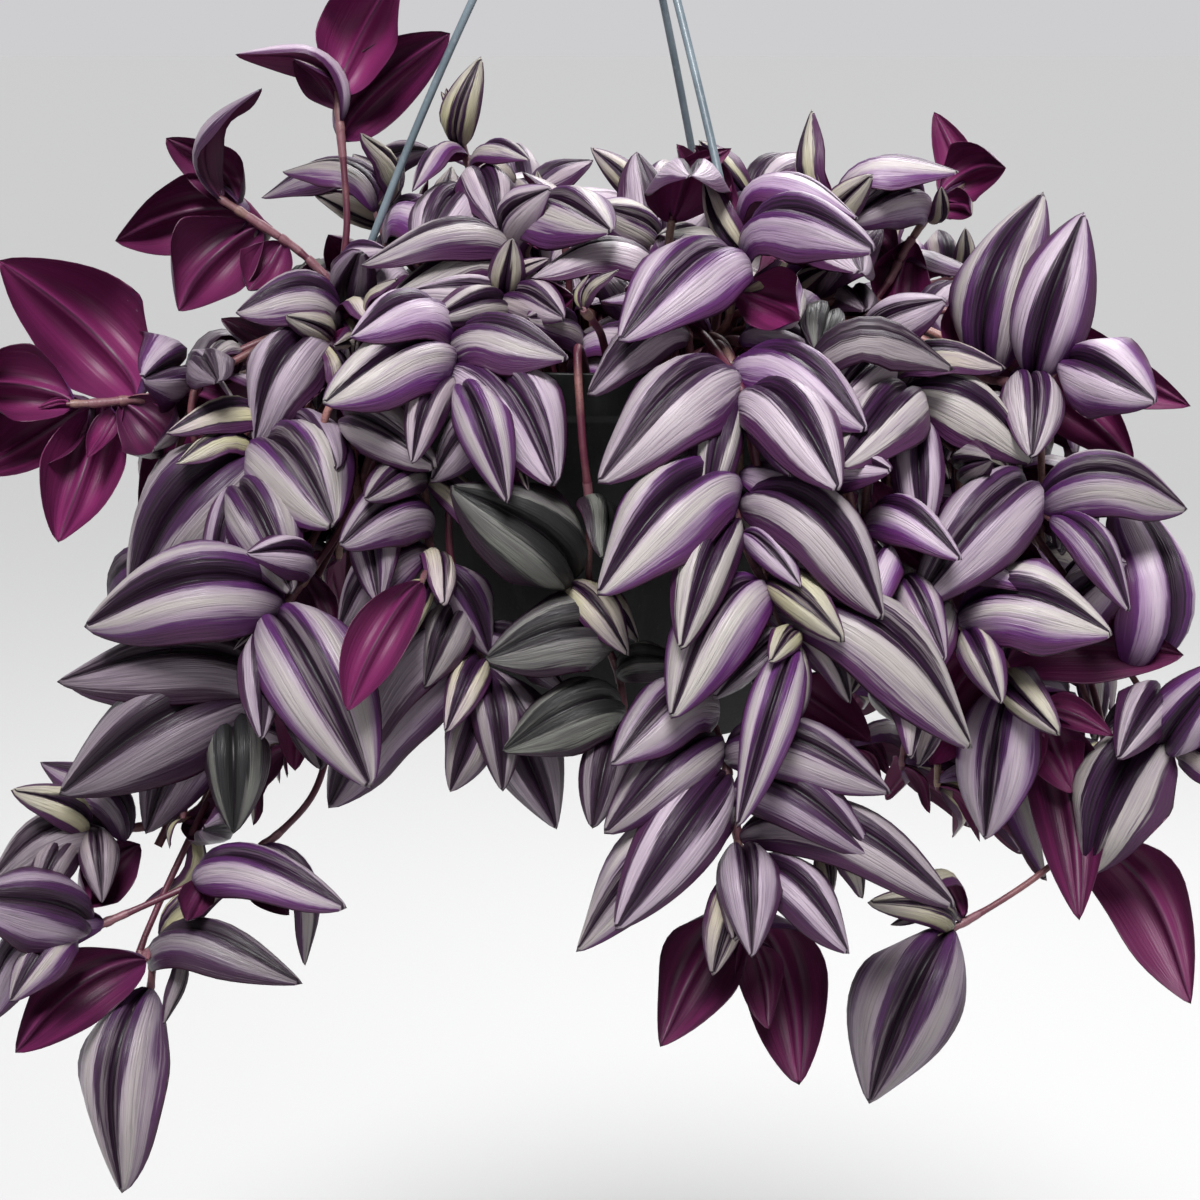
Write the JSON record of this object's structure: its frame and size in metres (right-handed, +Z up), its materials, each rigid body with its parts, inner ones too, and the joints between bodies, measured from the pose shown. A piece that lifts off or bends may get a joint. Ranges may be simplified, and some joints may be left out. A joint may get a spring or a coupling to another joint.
{
  "type": "hanging pot of tradescantia",
  "caption": "Hanging plastic pot on a strand hanger, filled with potting mix and planted with trailing purple-and-silver tradescantia.",
  "frame": {"origin": "the point inside the top of the hook's bend where it bears on what it hangs from, on the pot's axis", "axes": "+Z up along the pot's axis, +X to the right and -Y towards the viewer of the front view, with the hook's bend in the XZ plane"},
  "size_m": [0.4527, 0.3414, 0.558],
  "materials": {
    "pot": "satin",
    "potting_mix": "matte",
    "hanger": "satin",
    "foliage": "satin"
  },
  "bodies": {
    "root": {"pot": "pot", "potting_mix": "potting_mix", "hanger_hook": "hanger", "hanger_strand_1": "hanger", "hanger_strand_2": "hanger", "hanger_strand_3": "hanger", "leafy_stem_arching_top": "foliage", "leafy_stem_back_1": "foliage", "leafy_stem_back_10": "foliage", "leafy_stem_back_11": "foliage", "leafy_stem_back_2": "foliage", "leafy_stem_back_3": "foliage", "leafy_stem_back_4": "foliage", "leafy_stem_back_5": "foliage", "leafy_stem_back_6": "foliage", "leafy_stem_back_7": "foliage", "leafy_stem_back_8": "foliage", "leafy_stem_back_9": "foliage", "leafy_stem_broad_left": "foliage", "leafy_stem_broad_right": "foliage", "leafy_stem_burgundy_right": "foliage", "leafy_stem_cascade": "foliage", "leafy_stem_crown_right": "foliage", "leafy_stem_curled_upper": "foliage", "leafy_stem_dark_centre": "foliage", "leafy_stem_dark_upper_left": "foliage", "leafy_stem_far_left": "foliage", "leafy_stem_far_right": "foliage", "leafy_stem_hanging_right": "foliage", "leafy_stem_leaning_left": "foliage", "leafy_stem_lilac_right": "foliage", "leafy_stem_long_arching": "foliage", "leafy_stem_low_centre_left": "foliage", "leafy_stem_low_left": "foliage", "leafy_stem_lower_cascade": "foliage", "leafy_stem_lowest_left": "foliage", "leafy_stem_magenta_middle": "foliage", "leafy_stem_pink_centre": "foliage", "leafy_stem_rear_right": "foliage", "leafy_stem_right_of_centre": "foliage", "leafy_stem_rising_left": "foliage", "leafy_stem_rosette_centre_left": "foliage", "leafy_stem_rosette_left": "foliage", "leafy_stem_rosette_upper_left": "foliage", "leafy_stem_slanting_right": "foliage", "leafy_stem_thick_low_left": "foliage", "leafy_stem_top_1": "foliage", "leafy_stem_top_2": "foliage", "leafy_stem_top_3": "foliage", "leafy_stem_top_4": "foliage", "leafy_stem_top_5": "foliage", "leafy_stem_top_6": "foliage", "leafy_stem_top_7": "foliage", "leafy_stem_upright_middle": "foliage", "leafy_stem_violet_middle": "foliage", "leafy_stem_wire_hugging": "foliage"}
  },
  "joints": []
}
